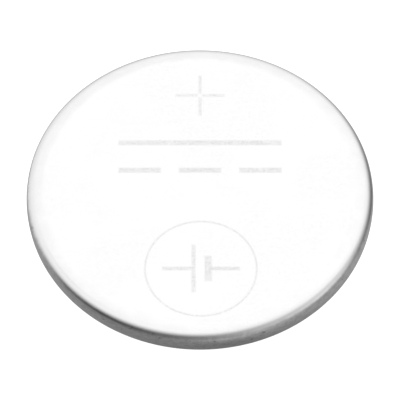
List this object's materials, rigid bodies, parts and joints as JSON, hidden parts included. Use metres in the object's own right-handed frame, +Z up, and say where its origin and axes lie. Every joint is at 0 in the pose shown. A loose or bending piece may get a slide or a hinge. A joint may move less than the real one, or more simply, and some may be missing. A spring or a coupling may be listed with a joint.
{
  "type": "lithium coin cell",
  "caption": "Flat round coin cell: steel cup with a rounded edge, crimped over a plastic gasket and a stepped negative cap, with the electrode stack inside and a plus mark on the positive face.",
  "frame": {"origin": "centre of the negative contact face, on the surface that the cell rests on", "axes": "+Z up along the cell's axis, out of the positive face; +Y towards the plus mark; +X to the right when the plus mark is at the top"},
  "size_m": [0.02, 0.02, 0.0025],
  "materials": {
    "can_steel": "polished stainless steel with fine handling scratches, marks etched matt",
    "cap_steel": "bright rolled stainless steel",
    "gasket": "natural polypropylene, satin, slightly translucent white",
    "pellet": "pressed manganese dioxide and graphite powder, matt black",
    "mesh": "expanded stainless steel mesh, satin",
    "separator": "nonwoven polypropylene cloth",
    "lithium": "rolled lithium foil, soft silver"
  },
  "bodies": {
    "root": {"positive_can": "can_steel", "sealing_gasket": "gasket", "negative_cap": "cap_steel", "cathode_pellet": "pellet", "cathode_collector": "mesh", "separator": "separator", "lithium_anode": "lithium"}
  },
  "joints": []
}
